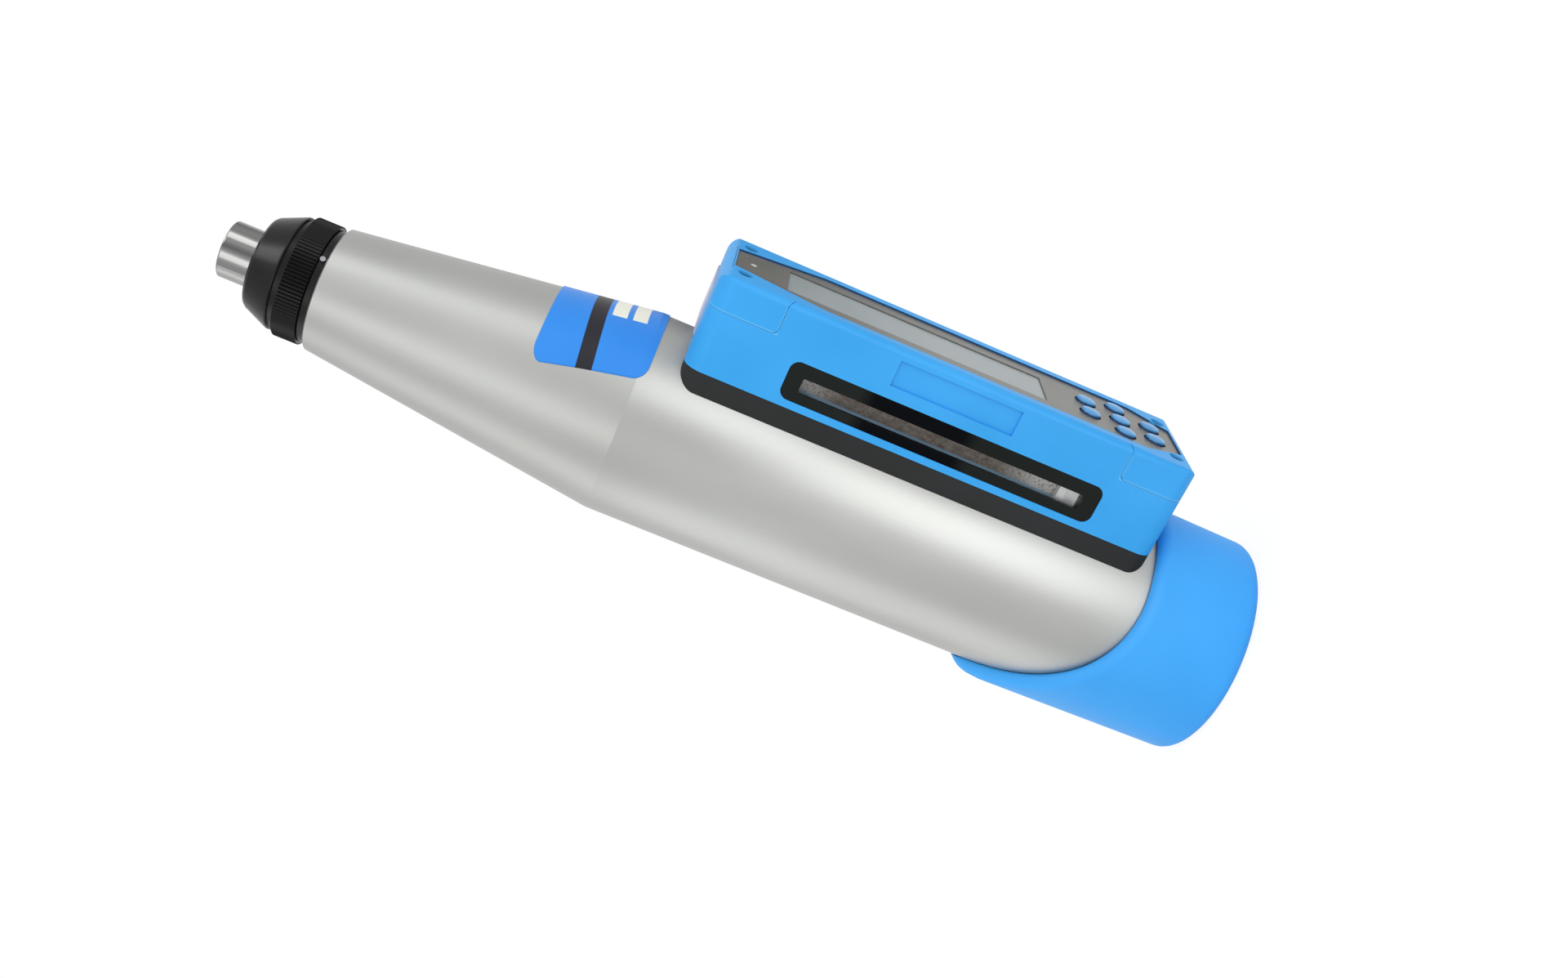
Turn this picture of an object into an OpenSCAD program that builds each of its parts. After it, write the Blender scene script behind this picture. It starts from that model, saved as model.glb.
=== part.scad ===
// Digital concrete test hammer, standing on its rear cap.
// +Z runs along the hammer's axis towards the plunger tip, +X is the display side, -Y is the window side.
// Millimetres. Drawn locked: plunger in, hammer mass forward against it.

/* [Housing] */
// Outside diameter of the barrel
body_d = 54; // [46:0.5:64]
// Wall thickness of the barrel
wall = 2.7; // [2.2:0.1:3.2]
// Height where the barrel turns into the cone
cone_z = 169.2; // [166:0.2:174]
// Height of the cone's front end
front_z = 249.6; // [247:0.2:253]
// Diameter of the cone's front end
cone_d = 32.8; // [32:0.2:36]

/* [Plunger and impact] */
// Plunger diameter
plunger_d = 15; // [14:0.1:15.6]
// Radius of the plunger's spherical tip
tip_sr = 25; // [20:1:40]
// Height of the plunger tip when it is locked in
tip_z = 277; // [275:0.5:282]
// Travel of the plunger and of the hammer mass
stroke = 75; // [70:0.5:75]
// Gap between the hammer mass and the barrel's bore
mass_gap = 4.3; // [3.4:0.1:6]
// Guide bar diameter
bar_d = 8; // [7:0.1:8.2]
// Angle that the pawl opens
pawl_open = 18; // [17:0.5:22]

/* [Rear end] */
// Rear cap side wall thickness
cap_side = 2.75; // [2.4:0.05:3.4]
// Rear cap wall thickness at the end
cap_wall = 3; // [2.4:0.1:3.4]
// Height of the long tongue's end
tongue_z = 63; // [58:1:66]
// Radius of the scooped front edge
scoop_r = 42.6; // [40:0.2:45]

/* [Display module] */
// Height of the module's rear end
box_z0 = 32.2; // [31.8:0.2:34]
// Height of the module's front end
box_z1 = 160.4; // [159:0.2:165]
// Module width
box_w = 39.2; // [34:0.2:46]
// Height of the module's top face above the barrel
box_rise = 22.5; // [21.9:0.2:25]
// Height of the black base along its side edge
base_h = 5.73; // [5.4:0.01:6.4]
// Module wall thickness
box_wall = 2; // [1.8:0.1:2.2]
// Corner radius of the module seen from above
corner_r = 5; // [4:0.5:6]
// Depth of the lid's corner tabs
tab_depth = 8.9; // [8:0.1:10]
// Length of the lid's corner tabs along the axis
tab_len = 18; // [16:0.2:20]

/* [Window] */
// Height of the slot's rear end
slot_z0 = 56; // [55:0.5:57]
// Slot width
slot_w = 4; // [3.4:0.2:4.6]
// Travel of the rider along the slot
rider_travel = 70; // [60:1:72]

/* [Keys] */
// Key diameter
key_d = 5.3; // [4.8:0.1:5.8]
// Distance between neighbouring rows of keys along the axis
key_pitch = 9.2; // [8.6:0.1:9.6]
// Distance between neighbouring keys in one row
key_row = 8.7; // [8.2:0.1:9.2]
// Key travel
key_travel = 0.6; // [0.4:0.1:0.8]

/* [Hidden] */

$fn = 96;
// fit of two still pieces, running fit of a shaft, free gap between moving pieces
fit = 0.05;
run = 0.06;
free = 0.4;
over = 1;

body_r = body_d / 2;
bore_r = body_r - wall;
cone_r = cone_d / 2;
cone_slope = (body_r - cone_r) / (front_z - cone_z);
neck_r = cone_r - 3.6;
neck_h = 9;
collar_h = 10;
nose_len = 17.1;
nose_taper = 6.9;
flange_h = 1.5;
knurl_h = 6.2;
knurl_r = cone_r - 0.4;
felt_z = front_z + neck_h + 1.3;
felt_h = 2.8;
plate_y = body_r - 6;
plate_back = 1.8;
plate_len = 26.1;
nose_pin_turn = 44.5;
nose_pin_r = 0.7;
nose_pin_z = front_z + 1.1;
sleeve_r = neck_r - 2.3;
cone_bore_r = cone_r + collar_h * cone_slope - 3.1;

plunger_r = plunger_d / 2;
bar_r = bar_d / 2;
bar_z0 = 30;
plunger_in = 81.3;
plunger_z0 = front_z - plunger_in;
bar_grip = 32;
bar_z1 = plunger_z0 + bar_grip;
buffer_len = 14;

disk_z = 33;
disk_h = 3;
disk_r = bore_r - 2.8;
pawl_x = 8.8 - bore_r;
pawl_z = disk_z + 4.9;
pawl_w = 3.2;
pawl_tail = 9;
pawl_top = 10;
hook_h = 3;
hook_in = 4.9;
ear_r = 2.4;
ear_y = 2.2;
pawl_pin_r = 1;

mass_r = bore_r - mass_gap;
mass_z1 = plunger_z0 - 0.3;
lip_h = 3;
lip_r = -pawl_x - 3;
mass_z0 = pawl_z + pawl_top - hook_h - 0.6 - lip_h + stroke;
groove_r = lip_r - 2.5;
groove_h = 5.2;
mass_nose_r = plunger_r + 3;
mass_nose_h = 10;

cover_z = cap_wall + 0.1;
barrel_z = cover_z + 3.4;
cover_h = 13;
trip_x = pawl_x + 3;
trip_r = 2;
trip_top = pawl_z - 9.6;

cap_in_r = body_r + 0.1;
cap_r = cap_in_r + cap_side;
cap_out_r = cap_r + 0.9;
cap_round = 3.2;
scoop_x = body_r - 10.2;
scoop_z = box_z0 - 2.8 + scoop_r;

button_turn = 70;
button_z = disk_z + disk_h + 3;
button_r = 3.3;
stem_r = 2.2;
bush_r = 5;
button_in = 3;

box_y = box_w / 2;
box_in_y = box_y - box_wall;
box_top = body_r + box_rise;
side_x = sqrt(body_r * body_r - box_y * box_y);
base_top = side_x + base_h;
box_len = box_z1 - box_z0;
lid_t = 2.6;
lid_under = box_top - lid_t;
tab_x = box_top - tab_depth;
part_gap = 0.12;
edge_r = 1.75;
end_r = 3.2;
tab_r = 2;
post_r = 1.65;
post_y = box_y - 7;
post_z = [box_z0 + 5.4, box_z1 - 5.8];
base_screw_z = [box_z0 + 13, box_z1 - 12];
base_low = side_x - 0.2;
base_screw_r = 1.25;
saddle_t = 1.8;
lid_screw_r = 1;

key_r = key_d / 2;
panel_y = key_row + key_r + 3.35;
lid_mid_y = box_y - edge_r;
lcd_y = panel_y - 5.9;
panel_t = 0.5;
lens_t = 0.25;
lens_gap = 0.05;
panel_top = box_top - 0.5;
lcd_z0 = box_z0 + 40.6;
lcd_z1 = box_z1 - 16.9;
led_z = box_z1 - 7.4;
led_r = 0.8;

rod_y = -box_in_y + 3.6;
rod_x = sqrt(body_r * body_r - (rod_y + 2.8) * (rod_y + 2.8)) + 1.533;
rod_r = 0.8;
rail_y = -rod_y - 4;
slot_len = rider_travel + 6;
slot_z1 = slot_z0 + slot_len;
slot_x = rod_x + 4.9;
frame_pad = 4.2;
frame_w = 10.2;
frame_x = slot_x + 0.5;
frame_t = 1.4;
pane_t = 0.6;
pocket_y = -box_y + frame_t - 0.05;

strip_top = slot_x + 3;
rider_z0 = slot_z0 + 0.4;
rider_z1 = rider_z0 + 5.6;
finger_r = bore_r - 1.6;
finger_x = sqrt(finger_r * finger_r - (rod_y + 1.3) * (rod_y + 1.3));

board_x = lid_under - 6.7;
board_t = 1.4;
board_end = 8;
mat_pad = 4;
battery_side = 4.6;
battery_end = 6;
lcd_border = 2.2;
socket_y = 4.5;
socket_len = 10.6;
key_mid_z = box_z0 + 18.7;
key_low = lid_under - 0.9;
key_rise = 1.3;
key_dome_r = 8;
key_pos = [
    [key_mid_z + key_pitch, key_row / 2], [key_mid_z + key_pitch, -key_row / 2],
    [key_mid_z, key_row], [key_mid_z, 0], [key_mid_z, -key_row],
    [key_mid_z - key_pitch, key_row / 2], [key_mid_z - key_pitch, -key_row / 2]];

port_low = board_x - 4.2;
port_x = board_x - 11;
port_y = 10;
port_z = box_z1 - 0.8;
port_pin_r = 0.4;
port_deep = 1.3;
flap_len = 13.8;
flap_out = 0.5;
socket_z1 = box_z1 - port_deep - 0.2;

blue = [0.25, 0.62, 0.95];
black = [0.13, 0.13, 0.14];
silver = [0.74, 0.74, 0.72];
steel = [0.6, 0.61, 0.63];
bronze = [0.72, 0.55, 0.3];

// rectangle from (a0, b0) to (a1, b1), and the same with round corners
module square_at(a0, b0, a1, b1) {
    translate([a0, b0]) square([a1 - a0, b1 - b0]);
}

module round_rect(a0, b0, a1, b1, r) {
    translate([a0 + r, b0]) square([a1 - a0 - 2 * r, b1 - b0]);
    translate([a0, b0 + r]) square([a1 - a0, b1 - b0 - 2 * r]);
    for (a = [a0 + r, a1 - r], b = [b0 + r, b1 - r]) translate([a, b]) circle(r);
}

// box between two corners
module block(p, q) {
    translate(p) cube(q - p);
}

// prism standing on the plane x = x0, drawn as [y, z]
module rise(x0, x1) {
    translate([x0, 0, 0]) multmatrix([[0, 0, 1, 0], [1, 0, 0, 0], [0, 1, 0, 0], [0, 0, 0, 1]])
        linear_extrude(x1 - x0) children();
}

// prism across the width between y0 and y1, drawn as [z, x]
module across(y0, y1) {
    translate([0, y0, 0]) multmatrix([[0, 1, 0, 0], [0, 0, 1, 0], [1, 0, 0, 0], [0, 0, 0, 1]])
        linear_extrude(y1 - y0) children();
}

// round bar along +X or +Y
module bar_x(x0, x1, y, z, r) {
    translate([x0, y, z]) rotate([0, 90, 0]) cylinder(h = x1 - x0, r = r);
}

module bar_y(y0, y1, x, z, r) {
    translate([x, y0, z]) rotate([-90, 0, 0]) cylinder(h = y1 - y0, r = r);
}

// round bar pointing out from the axis at a turn about Z
module bar_out(turn, z, r0, r1, r) {
    rotate([0, 0, turn]) bar_x(r0, r1, 0, z, r);
}

// spring wire: rings of corners along a helix, flat ended
module coil(z0, z1, mean_r, wire_r, turns) {
    steps = turns * 12;
    sides = 6;
    rise_z = z1 - z0 - 2 * wire_r;
    pts = [for (i = [0 : steps], k = [0 : sides - 1])
        let (a = i * 30, b = k * 360 / sides, r = mean_r + wire_r * cos(b))
            [r * cos(a), r * sin(a), z0 + wire_r + rise_z * i / steps + wire_r * sin(b)]];
    side = [for (i = [0 : steps - 1], k = [0 : sides - 1])
        let (a = i * sides + k, b = i * sides + (k + 1) % sides)
            each [[a, a + sides, b], [b, a + sides, b + sides]]];
    first = [[for (k = [0 : sides - 1]) k]];
    last = [[for (k = [sides - 1 : -1 : 0]) steps * sides + k]];
    echo(least_gap = rise_z / turns - 2 * wire_r);
    polyhedron(points = pts, faces = concat(side, first, last));
}

// outside of the display module between two distances from the axis
module box_form(x0, x1) {
    intersection() {
        rise(x0, x1) round_rect(-box_y, box_z0, box_y, box_z1, corner_r);
        translate([0, 0, box_z0]) linear_extrude(box_len) round_rect(x0 - 5, -box_y, x1, box_y, edge_r);
        across(-box_y, box_y) round_rect(box_z0, x0 - 5, box_z1, x1, end_r);
    }
}

// the two end pieces of the lid with their tabs, grown by a gap
module tab_zone(g) {
    for (z = [[box_z0 - over, box_z0 + tab_len + g], [box_z1 - tab_len - g, box_z1 + over]])
        across(-box_y - over, box_y + over) round_rect(z[0], tab_x - g, z[1], box_top + 4, 1.5);
    for (d = [-1, 1]) {
        z = d < 0 ? box_z1 - tab_len : box_z0 + tab_len;
        across(-box_y - over, box_y + over) difference() {
            square_at(min(z - d, z + d * tab_r), box_top - tab_r, max(z - d, z + d * tab_r), box_top + over);
            translate([z + d * tab_r, box_top - tab_r + 0.25]) circle(tab_r - g);
        }
    }
}

module lid_zone(g) {
    tab_zone(g);
    block([lid_under - g, -lid_mid_y - g, box_z0], [box_top + over, lid_mid_y + g, box_z1]);
}

module cavity() {
    rise(base_top - over, lid_under) round_rect(-box_in_y, box_z0 + box_wall, box_in_y, box_z1 - box_wall,
        corner_r - box_wall);
}

// room for the flap in the front end wall
module port_pocket() {
    block([port_x - 1.3, -port_y, box_z1 - port_deep], [port_x + flap_len + 0.2, port_y, box_z1 + over]);
}

// cone and barrel in one shell
module housing() {
    color(silver) difference() {
        rotate_extrude() polygon([[body_r, barrel_z], [body_r, cone_z], [cone_r, front_z - 0.4],
            [cone_r - 0.5, front_z], [neck_r, front_z], [neck_r, front_z + neck_h],
            [sleeve_r + fit, front_z + neck_h], [sleeve_r + fit, front_z - collar_h],
            [cone_bore_r, front_z - collar_h], [bore_r, cone_z - 2], [bore_r, barrel_z]]);
        block([bore_r - 12, rod_y - 2, slot_z0 + 0.6], [body_r + over, rod_y + 2, slot_z1 + 0.2]);
        bar_out(button_turn, button_z, bore_r - 4, body_r + over, bush_r + fit);
        for (z = base_screw_z) bar_x(bore_r - over, body_r + over, 0, z, base_screw_r + fit);
        bar_out(-nose_pin_turn, nose_pin_z, neck_r - 1.2, neck_r + over, nose_pin_r + fit);
    }
}

module guide_sleeve() {
    z0 = front_z - collar_h + 1;
    z1 = front_z + neck_h;
    color(bronze) rotate_extrude() polygon([[plunger_r + run, z0], [sleeve_r, z0], [sleeve_r, z1 + fit],
        [neck_r - 0.4, z1 + fit], [neck_r - 0.4, z1 + 1.2], [plunger_r + run, z1 + 1.2]]);
}

module felt_washer() {
    color([0.8, 0.78, 0.72]) translate([0, 0, felt_z]) difference() {
        cylinder(h = felt_h, r = neck_r - 0.5);
        translate([0, 0, -over]) cylinder(h = 5, r = plunger_r + free);
    }
}

// screwed nose cap with a straight knurled ring
module nose_cap() {
    z = front_z + 0.3;
    end_z = z + nose_len;
    taper_z = end_z - nose_taper;
    rim_r = knurl_r - 0.9;
    bore_z = felt_z + felt_h + 0.2;
    teeth = 100;
    color(black) difference() {
        union() {
            rotate_extrude() polygon([[neck_r + fit, z], [rim_r, z], [rim_r, z + flange_h],
                [rim_r - 0.7, z + flange_h], [rim_r - 0.7, taper_z - 0.5], [rim_r, taper_z - 0.5],
                [rim_r, taper_z], [rim_r - 2.8, end_z - 0.7], [rim_r - 3.4, end_z], [plunger_r + free, end_z],
                [plunger_r + free, bore_z], [neck_r + fit, bore_z]]);
            translate([0, 0, z + flange_h + 0.25]) linear_extrude(knurl_h) difference() {
                polygon([for (i = [0 : 2 * teeth - 1]) let (r = knurl_r - (i % 2 == 0 ? 0 : 0.5))
                    [r * cos(i * 180 / teeth), r * sin(i * 180 / teeth)]]);
                circle(neck_r + fit);
            }
        }
        bar_out(-nose_pin_turn, nose_pin_z, neck_r - over, cone_r, nose_pin_r + fit);
    }
}

module nose_pin() {
    color(steel) bar_out(-nose_pin_turn, nose_pin_z, neck_r - 1, cone_r - 0.8, nose_pin_r);
}

// thin sheet following the cone
module name_plate() {
    z0 = cone_z - plate_back;
    z1 = cone_z + plate_len;
    r0 = body_r + 0.03;
    r1 = r0 - cone_slope * (z1 - cone_z);
    t = 0.25;
    color(blue) intersection() {
        rotate_extrude()
            polygon([[r0, z0], [r0 + t, z0], [r0 + t, cone_z], [r1 + t, z1], [r1, z1], [r0, cone_z]]);
        rise(0, body_d) round_rect(-plate_y, z0 - 0.01, plate_y, z1 + 0.01, 3);
    }
}

// screwed end cover inside the rear cap
module rear_cover() {
    color(silver) difference() {
        union() {
            translate([0, 0, cover_z]) cylinder(h = barrel_z - cover_z - fit, r = body_r - 0.3);
            translate([0, 0, cover_z]) cylinder(h = cover_h, r = bore_r - fit);
        }
        translate([trip_x, 0, 0]) cylinder(h = trip_top, r = trip_r + fit);
    }
}

module trip_screw() {
    color(steel) translate([trip_x, 0, cover_z + 1.5]) cylinder(h = trip_top - cover_z - 1.5, r = trip_r);
}

module lock_nut() {
    color(steel) translate([trip_x, 0, cover_z + cover_h + fit]) difference() {
        cylinder(h = 3.2, r = 4.04, $fn = 6);
        translate([0, 0, -over]) cylinder(h = 6, r = trip_r + fit);
    }
}

// soft cap with a scooped front edge and a tongue along the underside
module rear_cap() {
    color(blue) difference() {
        rotate_extrude() difference() {
            union() {
                polygon([[0, 0], [cap_r - cap_round, 0], [cap_r, cap_round], [cap_out_r, tongue_z - 8],
                    [cap_out_r - 0.4, tongue_z - 4.2], [cap_out_r - 1.05, tongue_z - 2.3],
                    [cap_out_r - 1.9, tongue_z - 1], [cap_in_r + 1, tongue_z], [0, tongue_z]]);
                translate([cap_r - cap_round, cap_round]) circle(cap_round);
            }
            translate([0, cap_wall]) square([cap_in_r, tongue_z]);
            translate([-cap_r, 0]) square([cap_r, tongue_z]);
        }
        bar_y(-body_d, body_d, scoop_x, scoop_z, scoop_r);
        block([scoop_x, -body_d, scoop_z - scoop_r], [body_d, body_d, scoop_z + scoop_r]);
        block([scoop_x - scoop_r, -body_d, scoop_z], [body_d, body_d, tongue_z + scoop_r]);
    }
}

module compression_spring() {
    color(steel) coil(cover_z + cover_h + 0.1, disk_z - 0.1, disk_r - 3.2, 0.7, 5);
}

module impact_spring() {
    color(steel) coil(mass_z1 - mass_nose_h + 0.1, front_z - collar_h - 0.1, mass_nose_r + 1.5, 0.9, 14);
}

module button_bush() {
    color(steel) difference() {
        bar_out(button_turn, button_z, bore_r + 0.4, body_r + 2, bush_r);
        bar_out(button_turn, button_z, bore_r - over, body_r + 4, button_r + free);
    }
}

// saddle between the barrel and the shell
module module_base() {
    color(black) difference() {
        union() {
            intersection() {
                across(-box_y, box_y) round_rect(box_z0, base_low, box_z1, base_top + 3, 3);
                rise(base_low, base_top) round_rect(-box_y, box_z0, box_y, box_z1, corner_r);
            }
            block([base_top - over, -box_in_y + 0.2, box_z0 + box_wall + 3],
                [base_top + 1.5, box_in_y - 0.2, box_z1 - box_wall - 3]);
            intersection() {
                cylinder(h = box_z1, r = body_r + saddle_t);
                block([base_top - over, -box_in_y + 0.2, box_z0 + 8], [box_top, box_in_y - 0.2, box_z1 - 8]);
            }
            block([base_top, -rail_y, box_z0 + 8], [body_r + saddle_t, rail_y, box_z1 - 8]);
            block([body_r, -rail_y, slot_z0 - 4], [strip_top, -rail_y + 1.2, slot_z1 + 4]);
            for (z = [slot_z0 - 5, slot_z1 + 2])
                block([base_top, rod_y - 2, z], [rod_x + 2, -rail_y + 0.5, z + 3]);
        }
        cylinder(h = box_z1 + 10, r = body_r + fit);
        block([body_r - 12, rod_y - 3.4, slot_z0 - 1], [rod_x + 2, -rail_y - 0.8, slot_z1 + 1]);
        translate([rod_x, rod_y, slot_z0 - 6]) cylinder(h = slot_len + 12, r = rod_r + fit);
        for (z = base_screw_z) bar_x(body_r - 4, body_r + 6, 0, z, base_screw_r + fit);
        for (y = [-1, 1], z = post_z) bar_x(base_top - 5, base_top + 6, y * post_y, z, post_r + 0.3);
    }
}

module base_screws() {
    color(steel) for (z = base_screw_z) {
        bar_x(bore_r + 0.3, body_r + saddle_t + 0.2, 0, z, base_screw_r);
        bar_x(body_r + saddle_t + fit, body_r + saddle_t + 1.4, 0, z, base_screw_r + 1.05);
    }
}

module module_shell() {
    color(blue) difference() {
        union() {
            difference() {
                box_form(base_top + fit, box_top);
                cavity();
                lid_zone(part_gap);
            }
            for (y = [-1, 1], z = post_z) bar_x(base_top + 1, lid_under - fit, y * post_y, z, post_r);
            for (y = [-box_in_y - 0.5, post_y], z = post_z)
                block([base_top + 2, y, z - 0.8], [tab_x - 1, y + box_in_y - post_y + 0.5, z + 0.8]);
        }
        cylinder(h = box_z1 + 10, r = body_r + fit);
        across(-box_y - over, pocket_y) round_rect(slot_z0 - frame_pad - fit, frame_x - frame_w / 2 - fit,
            slot_z1 + frame_pad + fit, frame_x + frame_w / 2 + fit, 2.5);
        block([slot_x - slot_w / 2 - 1, -box_y - over, slot_z0 - 1.5],
            [slot_x + slot_w / 2 + 1, -box_in_y + 0.5, slot_z1 + 1.5]);
        block([box_top - 9.6, -box_y - over, box_z0 + 47.3], [box_top - 2.8, -box_y + 0.7, box_z0 + 80]);
        for (y = [-1, 1], z = post_z)
            bar_x(lid_under - 9, lid_under + over, y * post_y, z, lid_screw_r + fit);
        block([port_low - 0.2, -socket_y - 0.2, box_z1 - 4], [board_x - 0.05, socket_y + 0.2, box_z1 + over]);
        port_pocket();
        bar_y(-port_y - 1.7, port_y + 1.7, port_x, port_z, port_pin_r + run);
    }
}

module module_lid() {
    color(blue) difference() {
        intersection() {
            box_form(base_top, box_top);
            lid_zone(0);
        }
        cavity();
        port_pocket();
        rise(panel_top - panel_t - fit, box_top + over) panel_outline(fit);
        for (p = key_pos) bar_x(lid_under - over, box_top + over, p[1], p[0], key_r + free);
        block([lid_under - over, -lcd_y, lcd_z0], [box_top + over, lcd_y, lcd_z1]);
        bar_x(lid_under - over, box_top + over, 0, led_z, led_r + fit);
        for (y = [-1, 1], z = post_z) {
            bar_x(lid_under - over, box_top + over, y * post_y, z, lid_screw_r + fit);
            bar_x(box_top - 1.5, box_top + over, y * post_y, z, lid_screw_r + 0.9);
        }
    }
}

module lid_screws() {
    color(steel) for (y = [-1, 1], z = post_z) {
        bar_x(lid_under - 8, box_top - 1, y * post_y, z, lid_screw_r);
        bar_x(box_top - 1.45, box_top - 0.6, y * post_y, z, lid_screw_r + 0.8);
    }
}

// outline of the front panel, narrowed at both ends
module panel_outline(g) {
    rear_y = panel_y - 6.1 + g;
    front_y = panel_y - 6.4 + g;
    side_y = panel_y + g;
    half = [[rear_y, box_z0 + 3 - g], [side_y, box_z0 + 14], [side_y, box_z1 - 27],
        [front_y, box_z1 - 2.8 + g]];
    polygon([each half, for (i = [3 : -1 : 0]) [-half[i][0], half[i][1]]]);
}

module overlay_panel() {
    color([0.42, 0.41, 0.37]) difference() {
        rise(panel_top - panel_t, panel_top) panel_outline(0);
        block([lid_under, -lcd_y, lcd_z0], [box_top + over, lcd_y, lcd_z1]);
        for (p = key_pos) bar_x(lid_under, box_top + over, p[1], p[0], key_r + free);
        bar_x(lid_under, box_top + over, 0, led_z, led_r + fit);
    }
}

module lcd_window() {
    color([0.75, 0.8, 0.8, 0.4])
        block([panel_top - lens_gap - lens_t, -lcd_y + fit, lcd_z0 + fit],
            [panel_top - lens_gap, lcd_y - fit, lcd_z1 - fit]);
}

module lcd_panel() {
    color([0.68, 0.72, 0.72]) {
        block([lid_under - 2.2, -lcd_y - lcd_border, lcd_z0 - lcd_border],
            [lid_under - 0.1, lcd_y + lcd_border, lcd_z1 + lcd_border]);
        block([lid_under - 0.2, -lcd_y + fit, lcd_z0 + fit],
            [panel_top - lens_t - 2 * lens_gap, lcd_y - fit, lcd_z1 - fit]);
    }
}

module status_led() {
    color([0.9, 0.9, 0.85]) bar_x(board_x + board_t + 0.1, panel_top + 0.1, 0, led_z, led_r);
}

module keypad_mat() {
    mat_y = key_row + mat_pad;
    mat_z = key_pitch + mat_pad;
    color([0.3, 0.3, 0.32]) difference() {
        rise(board_x + board_t + 1.6, key_low - key_travel - free)
            round_rect(-mat_y, key_mid_z - mat_z, mat_y, key_mid_z + mat_z, 2);
        for (y = [-1, 1]) bar_x(board_x, lid_under, y * post_y, post_z[0], post_r + free);
    }
}

module circuit_board() {
    board_y = box_in_y - 2.2;
    color([0.1, 0.35, 0.2]) block([board_x, -board_y, box_z0 + board_end],
        [board_x + board_t, board_y, box_z1 - board_end]);
}

module battery() {
    color([0.55, 0.57, 0.6]) across(battery_side - box_in_y, box_in_y - battery_side)
        round_rect(lcd_z0 - battery_end, strip_top + 0.9, lcd_z1 - battery_end, board_x - 0.2, 1.2);
}

module port_socket() {
    color(steel) difference() {
        across(-socket_y, socket_y)
            round_rect(socket_z1 - socket_len, port_low, socket_z1, board_x - 0.15, 0.6);
        across(0.6 - socket_y, socket_y - 0.6)
            square_at(socket_z1 + 1 - socket_len, port_low + 0.6, socket_z1 + over, board_x - 0.75);
    }
}

// dark bezel around the slot
module window_frame() {
    color(black) difference() {
        across(-box_y - 0.1, -box_y - 0.1 + frame_t) round_rect(slot_z0 - frame_pad, frame_x - frame_w / 2,
            slot_z1 + frame_pad, frame_x + frame_w / 2, 2.45);
        across(-box_y - over, pocket_y + over)
            round_rect(slot_z0, slot_x - slot_w / 2, slot_z1, slot_x + slot_w / 2, 0.6);
    }
}

module window_pane() {
    color([0.8, 0.9, 0.95, 0.35]) block([slot_x - slot_w / 2 - 0.9, pocket_y + 0.05, slot_z0 - 1.4],
        [slot_x + slot_w / 2 + 0.9, pocket_y + 0.05 + pane_t, slot_z1 + 1.4]);
}

// bent metal strip behind the slot
module scale_strip() {
    y = -box_in_y + 2.4;
    color([0.45, 0.44, 0.42]) {
        block([rod_x + 1.65, y, slot_z0 - 1], [strip_top + 0.6, y + 0.6, slot_z1 + 1]);
        block([strip_top + fit, y, slot_z0 - 1], [strip_top + 0.6, -rail_y + 1.2, slot_z1 + 1]);
    }
}

module rider_rod() {
    color(steel) translate([rod_x, rod_y, slot_z0 - 4.8]) cylinder(h = slot_len + 9.6, r = rod_r);
}

// polished rod with a domed tip, bored for the guide bar and the buffer spring
module plunger() {
    color(steel) difference() {
        rotate_extrude() {
            square_at(0, plunger_z0, plunger_r, tip_z - 9);
            intersection() {
                translate([0, tip_z - tip_sr]) circle(tip_sr);
                square_at(0, tip_z - 10, plunger_r, tip_z);
            }
        }
        translate([0, 0, plunger_z0 - over]) cylinder(h = bar_grip + buffer_len + over, r = bar_r + fit);
    }
}

module buffer_spring() {
    color(steel) coil(bar_z1 + 0.1, bar_z1 + buffer_len - 0.1, bar_r - 0.9, 0.5, 6);
}

module guide_bar() {
    color(steel) translate([0, 0, bar_z0]) cylinder(h = bar_z1 - bar_z0, r = bar_r);
}

module guide_disk() {
    color(steel) difference() {
        union() {
            translate([0, 0, disk_z]) cylinder(h = disk_h, r = disk_r);
            for (y = [-2 * ear_y, ear_y]) {
                bar_y(y, y + ear_y, pawl_x, pawl_z, ear_r);
                block([pawl_x - ear_r, y, disk_z + 1], [pawl_x + ear_r, y + ear_y, pawl_z]);
            }
        }
        translate([0, 0, disk_z - over]) cylinder(h = disk_h + 10, r = bar_r + fit);
        block([pawl_x - 3.6, -pawl_w / 2 - free, disk_z - over],
            [pawl_x + 6, pawl_w / 2 + free, disk_z + disk_h + over]);
        bar_y(-6, 6, pawl_x, pawl_z, pawl_pin_r + fit);
    }
}

module pawl_pin() {
    color(steel) bar_y(0.1 - 2 * ear_y, 2 * ear_y - 0.1, pawl_x, pawl_z, pawl_pin_r);
}

// hook that holds the hammer mass, drawn open
module pawl() {
    color(steel) translate([pawl_x, 0, pawl_z]) rotate([0, -pawl_open, 0]) difference() {
        union() {
            block([-1.6, -pawl_w / 2, -pawl_tail], [1.6, pawl_w / 2, pawl_top]);
            block([0, -pawl_w / 2, pawl_top - hook_h], [hook_in, pawl_w / 2, pawl_top]);
            bar_y(-pawl_w / 2, pawl_w / 2, 0, 0, 2.1);
        }
        bar_y(-4, 4, 0, 0, pawl_pin_r + run);
    }
}

module hammer_mass() {
    lip_z = mass_z0 + lip_h;
    step_z = mass_z1 - mass_nose_h;
    color(steel) rotate_extrude() polygon([[bar_r + run, mass_z0], [lip_r, mass_z0], [lip_r, lip_z],
        [groove_r, lip_z], [groove_r, lip_z + groove_h], [mass_r, lip_z + groove_h], [mass_r, step_z],
        [mass_nose_r, step_z], [mass_nose_r, mass_z1], [bar_r + run, mass_z1]]);
}

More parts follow.
